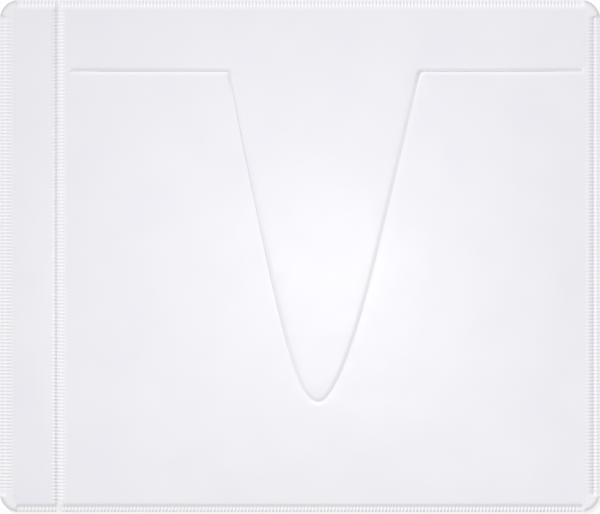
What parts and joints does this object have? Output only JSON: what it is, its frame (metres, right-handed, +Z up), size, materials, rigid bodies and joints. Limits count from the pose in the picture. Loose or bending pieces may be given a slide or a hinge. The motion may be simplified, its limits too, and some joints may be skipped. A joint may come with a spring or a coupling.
{
  "type": "self-adhesive disc sleeve",
  "caption": "Translucent welded film sleeve for a disc, with a slit and a long tongue flap, that turns like a page on a narrow adhesive strip.",
  "frame": {"origin": "on the surface that the sleeve lies on, under the middle of its outline", "axes": "+Z up out of the front film, +Y from the pocket's bottom towards the slit, +X from the mounting strip towards the pocket"},
  "size_m": [0.15, 0.128, 0.0022],
  "materials": {
    "film": "satin",
    "weld": "gloss",
    "tape": "matte",
    "liner": "matte"
  },
  "bodies": {
    "mounting_strip": {"adhesive_tape": "tape", "strip_back_film": "film", "strip_front_film": "film", "strip_edge_weld": "weld", "strip_top_weld": "weld", "strip_bottom_weld": "weld", "strip_fold_weld": "weld"},
    "liner": {"release_liner": "liner"},
    "pocket": {"pocket_back_film": "film", "pocket_header": "film", "pocket_front_panel": "film", "pocket_top_slope": "film", "pocket_bottom_slope": "film", "pocket_fold_slope": "film", "pocket_side_slope": "film", "pocket_fold_weld": "weld", "pocket_side_weld": "weld", "pocket_top_weld": "weld", "pocket_bottom_weld": "weld"},
    "tongue": {"tongue_flap": "film"}
  },
  "joints": [
    {"name": "page_fold", "type": "hinge", "parent": "mounting_strip", "child": "pocket", "pos_m": [-0.06037, 0, 0.00065], "axis": [0, -1, 0], "range_deg": [0, 165]},
    {"name": "tongue_lift", "type": "hinge", "parent": "pocket", "child": "tongue", "pos_m": [0.00595, 0.0462, 0.00215], "axis": [-1, 0, 0], "range_deg": [0, 170]},
    {"name": "liner_peel", "type": "hinge", "parent": "mounting_strip", "child": "liner", "pos_m": [-0.06769, -0.059, 0.0001], "axis": [-1, 0, 0], "range_deg": [0, 150]}
  ]
}
